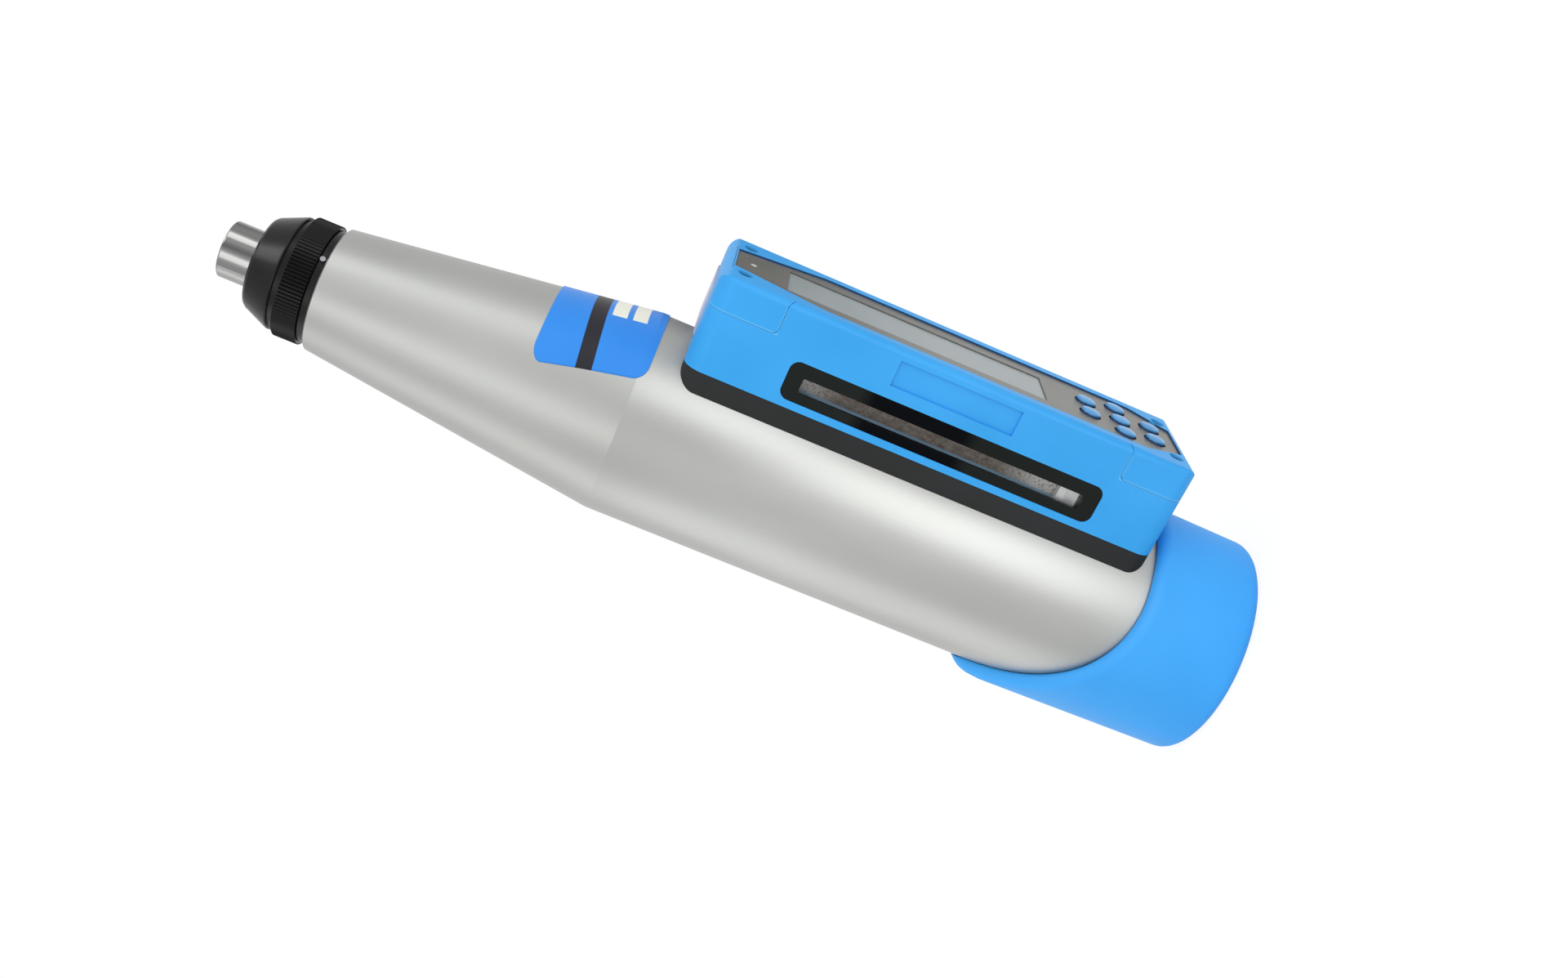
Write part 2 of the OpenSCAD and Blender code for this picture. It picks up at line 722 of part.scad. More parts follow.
// pointer on the rod with a finger through the barrel's slot
module rider() {
    color([0.82, 0.83, 0.84]) difference() {
        union() {
            block([rod_x - 1.2, rod_y - 3, rider_z0], [rod_x + 1.25, rod_y + 2.8, rider_z1]);
            block([rod_x, rod_y - 3.2, rider_z0], [slot_x + 1.6, rod_y - 1.6, rider_z1]);
            block([finger_x, rod_y - 1.3, rider_z0 + 1.3], [rod_x - 0.9, rod_y + 1.3, rider_z0 + 4.3]);
        }
        translate([rod_x, rod_y, rider_z0 - over]) cylinder(h = 8, r = rod_r + run);
    }
}

module lock_button() {
    color(black) {
        bar_out(button_turn, button_z, body_r - 0.6, body_r + button_in + 1.4, button_r);
        bar_out(button_turn, button_z, disk_r + 1, body_r, stem_r);
    }
}

// hinged flap over the socket
module port_cover() {
    color([0.62, 0.66, 0.7]) {
        across(0.2 - port_y, port_y - 0.2) polygon([[port_z - port_pin_r, port_x],
            [port_z - port_pin_r, port_x + flap_len], [box_z1 + flap_out, port_x + flap_len],
            [box_z1 + flap_out, port_x + 1.2], [box_z1 - 0.1, port_x - 0.3], [port_z, port_x - port_pin_r]]);
        bar_y(-port_y - 1.6, port_y + 1.6, port_x, port_z, port_pin_r);
    }
}

module key(p) {
    color(blue) {
        bar_x(key_low, lid_under - free, p[1], p[0], key_r + 0.6);
        translate([0, p[1], p[0]]) rotate([0, 90, 0]) rotate_extrude() intersection() {
            translate([0, panel_top + key_rise - key_dome_r]) circle(key_dome_r);
            translate([0, lid_under - free - 0.2]) square([key_r, 5]);
        }
    }
}

housing();
guide_sleeve();
felt_washer();
nose_cap();
nose_pin();
name_plate();
rear_cover();
trip_screw();
lock_nut();
rear_cap();
compression_spring();
impact_spring();
button_bush();
module_base();
base_screws();
module_shell();
module_lid();
lid_screws();
overlay_panel();
lcd_window();
lcd_panel();
status_led();
keypad_mat();
circuit_board();
battery();
port_socket();
window_frame();
window_pane();
scale_strip();
rider_rod();
plunger();
buffer_spring();
guide_bar();
guide_disk();
pawl_pin();
pawl();
hammer_mass();
rider();
lock_button();
port_cover();
key(key_pos[0]);  // key_1
key(key_pos[1]);  // key_2
key(key_pos[2]);  // key_3
key(key_pos[3]);  // key_4
key(key_pos[4]);  // key_5
key(key_pos[5]);  // key_6
key(key_pos[6]);  // key_7
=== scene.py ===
# %% [markdown]
# A digital concrete test hammer, dressed for its portrait. The solids come from the
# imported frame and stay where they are. This file adds the finishes, eases the edges
# that a moulding or a turned part never has sharp, and winds the springs.

# %% Load the frame
import math

import bmesh
import bpy
from mathutils import Matrix, Vector


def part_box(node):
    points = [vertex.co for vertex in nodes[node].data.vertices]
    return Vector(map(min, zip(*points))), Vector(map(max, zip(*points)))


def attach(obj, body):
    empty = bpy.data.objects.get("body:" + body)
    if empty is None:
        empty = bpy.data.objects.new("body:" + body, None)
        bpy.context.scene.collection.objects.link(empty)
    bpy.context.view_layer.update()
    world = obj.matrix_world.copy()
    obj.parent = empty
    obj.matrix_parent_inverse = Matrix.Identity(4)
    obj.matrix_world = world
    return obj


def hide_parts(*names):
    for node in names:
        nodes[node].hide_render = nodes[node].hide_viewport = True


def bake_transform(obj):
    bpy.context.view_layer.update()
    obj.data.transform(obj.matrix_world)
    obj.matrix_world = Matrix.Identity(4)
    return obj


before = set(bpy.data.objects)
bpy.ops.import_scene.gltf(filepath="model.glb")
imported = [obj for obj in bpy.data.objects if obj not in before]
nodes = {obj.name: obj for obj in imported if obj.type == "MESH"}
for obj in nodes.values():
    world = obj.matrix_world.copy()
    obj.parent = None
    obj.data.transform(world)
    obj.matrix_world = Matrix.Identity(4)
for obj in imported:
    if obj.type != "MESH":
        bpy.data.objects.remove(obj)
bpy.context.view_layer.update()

MM = 0.001
scene = bpy.context.scene
print("nodes in the frame:", len(nodes))

# %% [markdown]
# The photograph looks down the window side with the nose up on the left. Its camera
# was found by fitting the outline of the barrel and the module, so the place and the
# two directions below are measurements. A lens value and a sensor width say the same
# thing as a field of view, and they read more like a real camera.

# %% Camera
CAMERA_AT = Vector((0.1421, -0.36199, 0.16914))
CAMERA_FORWARD = Vector((-0.37055, 0.9212, -0.11869)).normalized()
CAMERA_UP = Vector((0.8423, 0.38713, 0.37504))
FOCAL_MM, SENSOR_MM = 34.072, 36.0

lens = bpy.data.cameras.new("photo_camera")
lens.lens = FOCAL_MM
lens.sensor_width = SENSOR_MM
lens.sensor_fit = "HORIZONTAL"
camera = bpy.data.objects.new("photo_camera", lens)
scene.collection.objects.link(camera)
right = CAMERA_FORWARD.cross(CAMERA_UP).normalized()
turned = Matrix((right, right.cross(CAMERA_FORWARD), -CAMERA_FORWARD)).transposed()
camera.matrix_world = Matrix.Translation(CAMERA_AT) @ turned.to_4x4()
scene.camera = camera
scene.view_settings.view_transform = "Standard"
print("camera at", [round(c, 3) for c in CAMERA_AT])

# %% [markdown]
# Node trees are easier to read when the plumbing has a name. One helper adds a node, one
# fills its sockets, one joins two sockets, and one starts a material. Colours are
# written as screen steps from 0 to 255, so they are turned into linear light.

# %% Small helpers for materials
def paint(red, green, blue):
    """A screen colour as the linear colour that a socket takes."""
    def linear(step):
        value = step / 255
        return value / 12.92 if value <= 0.04045 else ((value + 0.055) / 1.055) ** 2.4
    return (linear(red), linear(green), linear(blue), 1.0)


def add(tree, kind, **values):
    node = tree.nodes.new("ShaderNode" + kind)
    for name, value in values.items():
        setattr(node, name, value)
    return node


def fill(node, **values):
    """Sets sockets by name, where an underscore stands for a space."""
    for name, value in values.items():
        node.inputs[name.replace("_", " ")].default_value = value


def join(tree, node, output, other, socket):
    tree.links.new(node.outputs[output], other.inputs[socket])


def new_finish(name, **sockets):
    material = bpy.data.materials.new(name)
    material.use_nodes = True
    tree = material.node_tree
    shader = tree.nodes["Principled BSDF"]
    fill(shader, **sockets)
    return material, tree, shader


print("a middle grey as light:", round(paint(128, 128, 128)[0], 3))

# %% [markdown]
# Blasted metal, moulded plastic and rubber all share one thing: a fine tooth with a
# slower drift of tone over it. Two noises on the piece's own coordinates give both. It
# is a node group, so each finish sets its own scale, stretch and drift.

# %% Grain group
TOOTH_DETAIL, DRIFT_DETAIL = 3, 2
DRIFT_LOW, DRIFT_HIGH = 0.3, 0.7


def new_group(name, inputs, outputs):
    """An empty node group with its sockets, given as name and kind of value."""
    group = bpy.data.node_groups.new(name, "ShaderNodeTree")
    for way, sockets in (("INPUT", inputs), ("OUTPUT", outputs)):
        for socket, kind in sockets:
            group.interface.new_socket(socket, in_out=way, socket_type="NodeSocket" + kind)
    return group, group.nodes.new("NodeGroupInput"), group.nodes.new("NodeGroupOutput")


def make_grain():
    group, start, end = new_group(
        "fine_grain", [("Scale", "Float"), ("Drift", "Float"), ("Stretch", "Vector")],
        [("Height", "Float"), ("Tone", "Float")])
    place = add(group, "TexCoord")
    mapping = add(group, "Mapping")
    tooth = add(group, "TexNoise")
    fill(tooth, Detail=TOOTH_DETAIL)
    slower = add(group, "Math", operation="MULTIPLY")
    drift = add(group, "TexNoise")
    fill(drift, Detail=DRIFT_DETAIL)
    spread = add(group, "MapRange")
    fill(spread, From_Min=DRIFT_LOW, From_Max=DRIFT_HIGH)
    join(group, place, "Object", mapping, "Vector")
    join(group, start, "Stretch", mapping, "Scale")
    join(group, mapping, "Vector", tooth, "Vector")
    join(group, start, "Scale", tooth, "Scale")
    join(group, start, "Scale", slower, 0)
    join(group, start, "Drift", slower, 1)
    join(group, mapping, "Vector", drift, "Vector")
    join(group, slower, "Value", drift, "Scale")
    join(group, drift, "Fac", spread, "Value")
    join(group, tooth, "Fac", end, "Height")
    join(group, spread, "Result", end, "Tone")
    return group


FINE_GRAIN = make_grain()
print("group made:", FINE_GRAIN.name)

# %% [markdown]
# Printed fields, a plain end on a strip and the edge of a display all are boxes on
# the piece's own coordinates. This group answers one inside the box, zero outside,
# with a soft line between, so a print needs no picture. A label wrapped round a cone
# bows, and the bow value bends the boxes with it.

# %% Field group
def make_field():
    group, start, end = new_group(
        "field_mask", [("Low", "Vector"), ("High", "Vector"), ("Soft", "Float"), ("Bow", "Float")],
        [("Mask", "Float")])
    place = add(group, "TexCoord")
    apart = add(group, "SeparateXYZ")
    square = add(group, "Math", operation="MULTIPLY")
    bent = add(group, "Math", operation="MULTIPLY_ADD")
    point = add(group, "CombineXYZ")
    over = add(group, "VectorMath", operation="SUBTRACT")
    under = add(group, "VectorMath", operation="SUBTRACT")
    least = add(group, "VectorMath", operation="MINIMUM")
    axes = add(group, "SeparateXYZ")
    flat = add(group, "Math", operation="MINIMUM")
    deep = add(group, "Math", operation="MINIMUM")
    edge = add(group, "MapRange")
    join(group, place, "Object", apart, "Vector")
    join(group, apart, "Y", square, 0)
    join(group, apart, "Y", square, 1)
    join(group, square, "Value", bent, 0)
    join(group, start, "Bow", bent, 1)
    join(group, apart, "Z", bent, 2)
    join(group, apart, "X", point, "X")
    join(group, apart, "Y", point, "Y")
    join(group, bent, "Value", point, "Z")
    join(group, point, "Vector", over, 0)
    join(group, start, "Low", over, 1)
    join(group, start, "High", under, 0)
    join(group, point, "Vector", under, 1)
    join(group, over, "Vector", least, 0)
    join(group, under, "Vector", least, 1)
    join(group, least, "Vector", axes, "Vector")
    join(group, axes, "X", flat, 0)
    join(group, axes, "Y", flat, 1)
    join(group, flat, "Value", deep, 0)
    join(group, axes, "Z", deep, 1)
    join(group, deep, "Value", edge, "Value")
    join(group, start, "Soft", edge, "From Max")
    join(group, edge, "Result", end, "Mask")
    return group


FIELD_MASK = make_field()
print("group made:", FIELD_MASK.name)

# %% [markdown]
# Most finishes are grain, a colour that drifts a little, a roughness that drifts with
# it and a shallow bump. One function lays that down, and a second prints a field over
# the colour that is there.

# %% Grained finish
BUMP_DEPTH = 0.1 * MM
finishes = {}


def grained(slot, name, dark, light, rough, scale, bump, stretch=(1, 1, 1), drift=0.02,
            **sockets):
    """Lays a slot's finish down: two tones, two roughnesses and a grain size."""
    material, tree, shader = new_finish(name, **sockets)
    grain = add(tree, "Group", node_tree=FINE_GRAIN)
    fill(grain, Scale=scale, Drift=drift, Stretch=stretch)
    colour = add(tree, "Mix", data_type="RGBA", label="colour")
    fill(colour, A=dark, B=light)
    join(tree, grain, "Tone", colour, "Factor")
    join(tree, colour, "Result", shader, "Base Color")
    tooth = add(tree, "MapRange")
    fill(tooth, To_Min=rough[0], To_Max=rough[1])
    join(tree, grain, "Tone", tooth, "Value")
    join(tree, tooth, "Result", shader, "Roughness")
    relief = add(tree, "Bump")
    fill(relief, Strength=bump, Distance=BUMP_DEPTH)
    join(tree, grain, "Height", relief, "Height")
    join(tree, relief, "Normal", shader, "Normal")
    finishes[slot] = material
    return tree, shader, colour


def print_field(tree, shader, below, low, high, colour, soft=0.15, bow=0.0):
    """Prints a box given in millimetres over the colour below it."""
    box = add(tree, "Group", node_tree=FIELD_MASK)
    fill(box, Low=Vector(low) * MM, High=Vector(high) * MM, Soft=soft * MM, Bow=bow)
    mix = add(tree, "Mix", data_type="RGBA")
    fill(mix, B=colour)
    join(tree, box, "Mask", mix, "Factor")
    join(tree, below, "Result", mix, "A")
    join(tree, mix, "Result", shader, "Base Color")
    return mix


print("bump depth in metres:", BUMP_DEPTH)

# %% [markdown]
# The barrel and the cone are one aluminium shell, blasted with fine beads and clear
# anodised. That reads as a light grey metal with wide, soft highlights. The plunger is
# ground and polished along its length, and its tone streaks along the axis are partly grinding
# marks and partly painted reflection bands.

# %% Metal finishes
grained("housing_metal", "blasted_aluminium", paint(165, 166, 163), paint(175, 176, 174),
        rough=(0.4, 0.46), scale=2600, bump=0.2, stretch=(1, 1, 0.3), Metallic=1.0)
# The plunger's dark and light streaks along the axis are partly grinding marks and partly painted
# reflection bands.
grained("plunger_steel", "polished_steel", paint(88, 88, 88), paint(162, 162, 161),
        rough=(0.1, 0.2), scale=2600, bump=0.05, stretch=(1, 1, 0.015), drift=0.12, Metallic=1.0)
grained("inner_steel", "ground_steel", paint(116, 117, 119), paint(138, 138, 139),
        rough=(0.25, 0.38), scale=3000, bump=0.15, Metallic=1.0)
grained("bush_bronze", "oiled_bronze", paint(158, 122, 70), paint(182, 144, 88),
        rough=(0.28, 0.42), scale=3000, bump=0.15, Metallic=1.0)
grained("rider_silver", "bright_pointer", paint(240, 242, 242), paint(250, 251, 251),
        rough=(0.3, 0.4), scale=2500, bump=0.1, Metallic=0.4)
print("metals:", sorted(finishes))

# %% [markdown]
# The nose cap is black anodised, so its taper shines a little. The base of the module is
# a black moulding with a matt skin. The window bezel is smoked acrylic, nearly black, with
# a dark reflection painted along its middle. A low specular level keeps the white room off all of
# them.

# %% Black finishes
BEZEL_DARK_REFLECTION = (0, -60, 86), (90, 60, 118)

grained("nose_black", "black_anodised", paint(12, 12, 13), paint(18, 18, 19),
        rough=(0.26, 0.34), scale=2400, bump=0.12, Specular_IOR_Level=0.2)
grained("base_black", "matt_black_moulding", paint(28, 29, 30), paint(36, 37, 38),
        rough=(0.5, 0.62), scale=1800, bump=0.35, Specular_IOR_Level=0.2)
tree, shader, ground = grained(
    "frame_black", "smoked_acrylic", paint(23, 27, 25), paint(32, 36, 34),
    rough=(0.08, 0.16), scale=900, bump=0.05, Specular_IOR_Level=0.04)
# Painted reflection: a dark band along the middle of the bezel.
print_field(tree, shader, ground, *BEZEL_DARK_REFLECTION, paint(4, 6, 10), soft=4)
grained("button_black", "button_moulding", paint(34, 34, 36), paint(44, 44, 46),
        rough=(0.4, 0.55), scale=2000, bump=0.3, Specular_IOR_Level=0.3)
print("blacks:", [slot for slot in finishes if slot.endswith("black")])

# %% [markdown]
# Three blues: the hard shell of the module, the softer cap over the rear end and the
# rubber of the keys. All have a spark-eroded tooth from the mould. The keys are glossier,
# and their skirts carry painted shade where they go down into the overlay. Pale painted
# highlights run along the lid's seams, and painted shade darkens the recess round the overlay.

# %% Blue finishes
# Boxes for painted highlights along the lid's seams, and for painted shade in the overlay's recess
# and on the keys' skirts.
SEAM_HIGHLIGHTS = [
    ((40.3, -25, 30), (41, 25, 50.4)), ((40.6, -25, 49.9), (47.6, 25, 50.5)),
    ((40.3, -25, 142.2), (41, 25, 162)), ((40.6, -25, 142.1), (47.6, 25, 142.7)),
]
RECESS_SHADE = [
    ((48.3, -16, 40), (49.42, 16, 152)), ((48.3, -10.5, 34.6), (49.42, 10.5, 158.2)),
]
KEY_SKIRT_SHADE = (0, -60, 30), (49.6, 60, 80)

tree, shader, ground = grained(
    "shell_blue", "blue_shell_moulding", paint(44, 152, 221), paint(52, 159, 229),
    rough=(0.4, 0.5), scale=2200, bump=0.3, Specular_IOR_Level=0.25)
# Pale painted highlights along the lid's seams.
for low, high in SEAM_HIGHLIGHTS:
    ground = print_field(tree, shader, ground, low, high, paint(88, 176, 232), soft=0.2)
# Painted shade in the recess round the overlay.
for low, high in RECESS_SHADE:
    ground = print_field(tree, shader, ground, low, high, paint(20, 66, 116), soft=0.05)
grained("cap_blue", "blue_soft_cap", paint(54, 156, 232), paint(62, 164, 240),
        rough=(0.46, 0.58), scale=1600, bump=0.3, Specular_IOR_Level=0.25)
tree, shader, ground = grained(
    "key_blue", "blue_key_rubber", paint(42, 136, 196), paint(54, 148, 210),
    rough=(0.12, 0.2), scale=2600, bump=0.1, Specular_IOR_Level=0.75)
# Painted shade on the keys' skirts, where they go down into the overlay.
print_field(tree, shader, ground, *KEY_SKIRT_SHADE, paint(24, 62, 112), soft=0.3)
print("blues:", [slot for slot in finishes if slot.endswith("blue")])

# %% [markdown]
# What is left is small or hidden: felt, the overlay film, the display, the circuit
# board and the pieces round them. They still get their own tooth and drift. The display
# is switched off, with one pale line along its near edge.

# %% Other plain finishes
DISPLAY_LINE = (0, -8.6, 74), (60, -8.1, 142)

grained("felt", "wool_felt", paint(196, 190, 176), paint(216, 211, 198),
        rough=(0.85, 0.95), scale=3500, bump=0.9)
grained("overlay_grey", "overlay_film", paint(94, 93, 88), paint(102, 101, 96),
        rough=(0.3, 0.38), scale=2600, bump=0.1, Specular_IOR_Level=0.5)
tree, shader, ground = grained(
    "lcd_grey", "display_ground", paint(158, 168, 171), paint(166, 176, 179),
    rough=(0.28, 0.36), scale=4000, bump=0.05, Specular_IOR_Level=0.65)
print_field(tree, shader, ground, *DISPLAY_LINE, paint(222, 230, 230), soft=0.1)
grained("led_white", "lamp_lens", paint(188, 188, 182), paint(206, 206, 200),
        rough=(0.2, 0.3), scale=2000, bump=0.1)
grained("mat_grey", "silicone_mat", paint(34, 35, 38), paint(44, 45, 48),
        rough=(0.55, 0.65), scale=1800, bump=0.3)
grained("board_green", "circuit_lacquer", paint(24, 84, 52), paint(34, 102, 64),
        rough=(0.25, 0.4), scale=1500, bump=0.2)
grained("battery_grey", "cell_foil", paint(138, 142, 150), paint(158, 162, 168),
        rough=(0.3, 0.45), scale=900, bump=0.4, Metallic=0.6)
grained("flap_grey", "flap_moulding", paint(176, 182, 204), paint(190, 196, 214),
        rough=(0.4, 0.5), scale=2000, bump=0.3, Specular_IOR_Level=0.3)
print("finishes so far:", len(finishes))

# %% [markdown]
# The scale strip behind the window is a stamped metal strip, brown and spotted with
# handling in the middle, with a painted reflection that makes it bright towards both ends.
# Light caught in the pane's lower edge is painted as a pale blue line along it. All are fields
# printed over the spotted ground.

# %% Scale strip
STRIP_END_REFLECTION = paint(250, 251, 246)
STRIP_REAR = (0, -60, 20), (90, 30, 78)
STRIP_FRONT = (0, -60, 122), (90, 30, 190)
STRIP_LINE = (0, -60, 20), (28.8, 30, 190)
SPOT_SCALE, SPOT_DRIFT = 6500, 0.3
SPOT_FROM, SPOT_FULL, SPOT_SHARE = 0.62, 0.8, 0.6

tree, shader, ground = grained(
    "strip_metal", "spotted_strip", paint(124, 116, 108), paint(162, 155, 146),
    rough=(0.4, 0.55), scale=1700, bump=0.4, stretch=(1, 1, 0.6), drift=0.6, Specular_IOR_Level=0.4)
# Painted reflection: the strip turns bright towards both ends.
rear_reflection = print_field(tree, shader, ground, *STRIP_REAR, STRIP_END_REFLECTION, soft=10)
front_reflection = print_field(tree, shader, rear_reflection, *STRIP_FRONT, STRIP_END_REFLECTION, soft=10)
spots = add(tree, "Group", node_tree=FINE_GRAIN)
fill(spots, Scale=SPOT_SCALE, Drift=SPOT_DRIFT, Stretch=(1, 1, 1))
share = add(tree, "MapRange")
fill(share, From_Min=SPOT_FROM, From_Max=SPOT_FULL, To_Max=SPOT_SHARE)
brown = add(tree, "Mix", data_type="RGBA")
fill(brown, B=paint(132, 76, 40))
join(tree, spots, "Tone", share, "Value")
join(tree, share, "Result", brown, "Factor")
join(tree, front_reflection, "Result", brown, "A")
print_field(tree, shader, brown, *STRIP_LINE, paint(170, 214, 244), soft=0.4)
print("share of brown in a spot:", SPOT_SHARE)

# %% [markdown]
# The label on the cone is a thin printed film, wrapped half round it: a bright blue
# ground, one black cross band and two plain white fields. A picture would do, but boxes
# on the piece's own coordinates stay sharp at any distance.

# %% Label
LABEL_BOW = 4.4
LABEL_BAND = (0, -40, 182.1), (60, 40, 186.2)
LABEL_FIELDS = [((0, -6.4, 177.2), (60, 9, 181.1)), ((0, -6.3, 172.1), (60, 9, 175.9))]

tree, shader, ground = grained(
    "label_blue", "printed_label", paint(33, 124, 214), paint(41, 133, 222),
    rough=(0.34, 0.44), scale=1500, bump=0.1, Specular_IOR_Level=0.25)
ground = print_field(tree, shader, ground, *LABEL_BAND, paint(24, 24, 34), bow=LABEL_BOW)
for low, high in LABEL_FIELDS:
    ground = print_field(tree, shader, ground, low, high, paint(226, 226, 212), bow=LABEL_BOW)
print("fields on the label:", 1 + len(LABEL_FIELDS))

# %% [markdown]
# The window pane and the display cover are thin and clear. Glass that bends light would
# need many bounces to show what lies right under it, so both are mostly a hole with a
# little gloss and smudges on it.

# %% Clear finishes
SMUDGE = paint(18, 18, 18), paint(26, 26, 27)

grained("pane_clear", "clear_pane", *SMUDGE,
        rough=(0.02, 0.06), scale=700, bump=0.03, Alpha=0.12)
grained("lcd_glass", "display_cover", *SMUDGE,
        rough=(0.03, 0.1), scale=700, bump=0.03, Alpha=0.08)

for node in nodes.values():
    for place in node.material_slots:
        place.material = finishes[place.material.name.split(".")[0]]
print("finishes:", len(finishes))

# %% [markdown]
# A solid from CAD has knife edges, and light shows it at once. A moulded or turned
# edge has a small round that catches a thin bright line. Each piece below is a copy of
# its solid: the loose triangles are merged, flat faces are joined, and the outer edges
# are bevelled. The copy then stands in for the solid.

# %% Eased copies
SHARP_TURN, FLAT_TURN = math.radians(50), math.radians(0.6)
MERGE_GAP = 0.002 * MM
EASE_LIMIT = math.radians(40)


def put(name, bm, slot, body, *stands_for):
    """Makes the piece from a bmesh, gives it its finish and ties it to its body."""
    mesh = bpy.data.meshes.new(name)
    bm.to_mesh(mesh)
    bm.free()
    stale = mesh.attributes.get("custom_normal")
    if stale:
        mesh.attributes.remove(stale)
    mesh.shade_smooth()
    mesh.set_sharp_from_angle(angle=SHARP_TURN)
    mesh.materials.clear()
    mesh.materials.append(finishes[slot])
    piece = bpy.data.objects.new(name, mesh)
    scene.collection.objects.link(piece)
    piece.modifiers.new("even_shading", "WEIGHTED_NORMAL").keep_sharp = True
    if body:
        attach(piece, body)
    if stands_for:
        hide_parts(*stands_for)
    return piece


def copy_of(node):
    """The merged mesh of a solid, flat faces joined."""
    bm = bmesh.new()
    bm.from_mesh(nodes[node].data)
    bm.transform(nodes[node].matrix_world)
    bmesh.ops.remove_doubles(bm, verts=bm.verts, dist=MERGE_GAP)
    bmesh.ops.dissolve_limit(bm, angle_limit=FLAT_TURN, verts=bm.verts, edges=bm.edges,
                             use_dissolve_boundaries=False, delimit=set())
    return bm


def ease(bm, width, keep=None):
    """Bevels the outer edges that turn by more than the limit."""
    sharp = [e for e in bm.edges if e.is_manifold and e.is_convex
             and e.calc_face_angle() > EASE_LIMIT and (keep is None or keep(e))]
    bmesh.ops.bevel(bm, geom=sharp, offset=width * MM, offset_type="OFFSET", segments=2,
                    profile=0.5, affect="EDGES", clamp_overlap=True, material=-1)
    return len(sharp)


# Piece, its solid, slot, body and the width of the round in millimetres.
EASED = [
    ("base_moulding", "module_base", "base_black", "housing_body", 0.4),
    ("shell_moulding", "module_shell", "shell_blue", "housing_body", 0.32),
    ("lid_moulding", "module_lid", "shell_blue", "housing_body", 0.32),
    ("window_bezel", "window_frame", "frame_black", "housing_body", 0.25),
    ("flap_moulding", "port_cover", "flap_grey", "flap_body", 0.2),
    ("plunger_rod", "plunger", "plunger_steel", "carriage", 0.35),
]
EASED += [(f"key_cap_{k}", f"key_{k}", "key_blue", f"key_body_{k}", 0.4)
          for k in range(1, 8)]

for name, node, slot, body, width in EASED:
    bm = copy_of(node)
    edges = ease(bm, width)
    piece = put(name, bm, slot, body, node)
    print(name, "eased edges:", edges, "faces:", len(piece.data.polygons))

# %% [markdown]
# The soft cap at the rear is dipped rubber. Its front edge is scooped out under the
# module, runs down both sides and leaves a tongue on the underside, and the rim rolls
# over softly on to the barrel. A bevel would trip over the many small faces there, so the
# cap is turned like a plain cup first. Then each point is moved: the rim's height follows
# the scoop, a circle seen from the side, and the rows under it follow the rim.

# %% Soft cap
CAP_BORE, CAP_FLOOR, CAP_ROUND, TONGUE_END = 27.1, 3.0, 3.2, 63.0
SCOOP_X, SCOOP_Z, SCOOP_R = 16.8, 72.0, 42.6
ROLL, LIP, TONGUE_SOFT = 3.0, 0.4, 0.7
SIDE_LEAST, SLOPE_STEP = 1.0, 0.02
# Heights and outer radii, in millimetres.
CAP_WALL = [(0, 29.85), (3.2, 29.85), (55, 30.75), (58.8, 30.35), (60.7, 29.7), (62, 28.85),
            (63, 28.1), (64, 28.1)]
FOOT_ROWS, SIDE_ROWS, ROLL_ROWS, BORE_ROWS = 6, 12, 8, 8
CAP_STEPS = 288


def wall_radius(z):
    """Outer radius of the cap at a height, in millimetres."""
    for (z0, r0), (z1, r1) in zip(CAP_WALL, CAP_WALL[1:]):
        if z <= z1:
            return r0 + (r1 - r0) * (z - z0) / (z1 - z0)


def rim_height(turn):
    """Height of the rim where it lies on the barrel, soft where the tongue ends."""
    aside = min(max(SCOOP_X - CAP_BORE * math.cos(turn), 0), SCOOP_R)
    scoop = SCOOP_Z - math.sqrt(SCOOP_R ** 2 - aside ** 2)
    return (scoop + TONGUE_END) / 2 - math.hypot((scoop - TONGUE_END) / 2, TONGUE_SOFT)


def rim_roll(turn):
    """How far down the rim's roll reaches, longer where the rim runs steeply."""
    rise = rim_height(turn + SLOPE_STEP) - rim_height(turn - SLOPE_STEP)
    return ROLL * math.hypot(1, rise / (2 * SLOPE_STEP * CAP_BORE))


def cap_point(row, turn):
    """Radius and height of a row: a kind, and how far along it the row lies."""
    kind, along = row
    rim = rim_height(turn)
    roll = min(rim_roll(turn), rim - CAP_ROUND - SIDE_LEAST)
    if kind == "foot":
        return (wall_radius(0) - CAP_ROUND * (1 - math.sin(along * math.pi / 2)),
                CAP_ROUND * (1 - math.cos(along * math.pi / 2)))
    if kind == "side":
        z = CAP_ROUND + along * (rim - roll - CAP_ROUND)
        return wall_radius(z), z
    if kind == "roll":
        z = rim - roll + roll * math.sin(along * math.pi / 2)
        deep = wall_radius(rim) - CAP_BORE - LIP
        return wall_radius(z) - deep * (1 - math.cos(along * math.pi / 2)), z
    return CAP_BORE, CAP_FLOOR + along * (rim - LIP - CAP_FLOOR)


rows = [("foot", k / FOOT_ROWS) for k in range(FOOT_ROWS + 1)]
rows += [("side", k / SIDE_ROWS) for k in range(1, SIDE_ROWS + 1)]
rows += [("roll", k / ROLL_ROWS) for k in range(1, ROLL_ROWS + 1)]
rows += [("bore", 1 - k / BORE_ROWS) for k in range(BORE_ROWS + 1)]
bm = bmesh.new()
marks = bm.verts.layers.int.new("row")
chain = []
for number, row in enumerate(rows):
    radius, z = cap_point(row, 0.0)
    chain.append(bm.verts.new((radius * MM, 0, z * MM)))
    chain[-1][marks] = number
for one, other in zip(chain, chain[1:]):
    bm.edges.new((one, other))
bmesh.ops.spin(bm, geom=bm.verts[:] + bm.edges[:], cent=(0, 0, 0), axis=(0, 0, 1),
               angle=math.tau, steps=CAP_STEPS, use_merge=True)
for vert in bm.verts:
    turn = math.atan2(vert.co.y, vert.co.x)
    radius, z = cap_point(rows[vert[marks]], turn)
    vert.co = (radius * MM * math.cos(turn), radius * MM * math.sin(turn), z * MM)
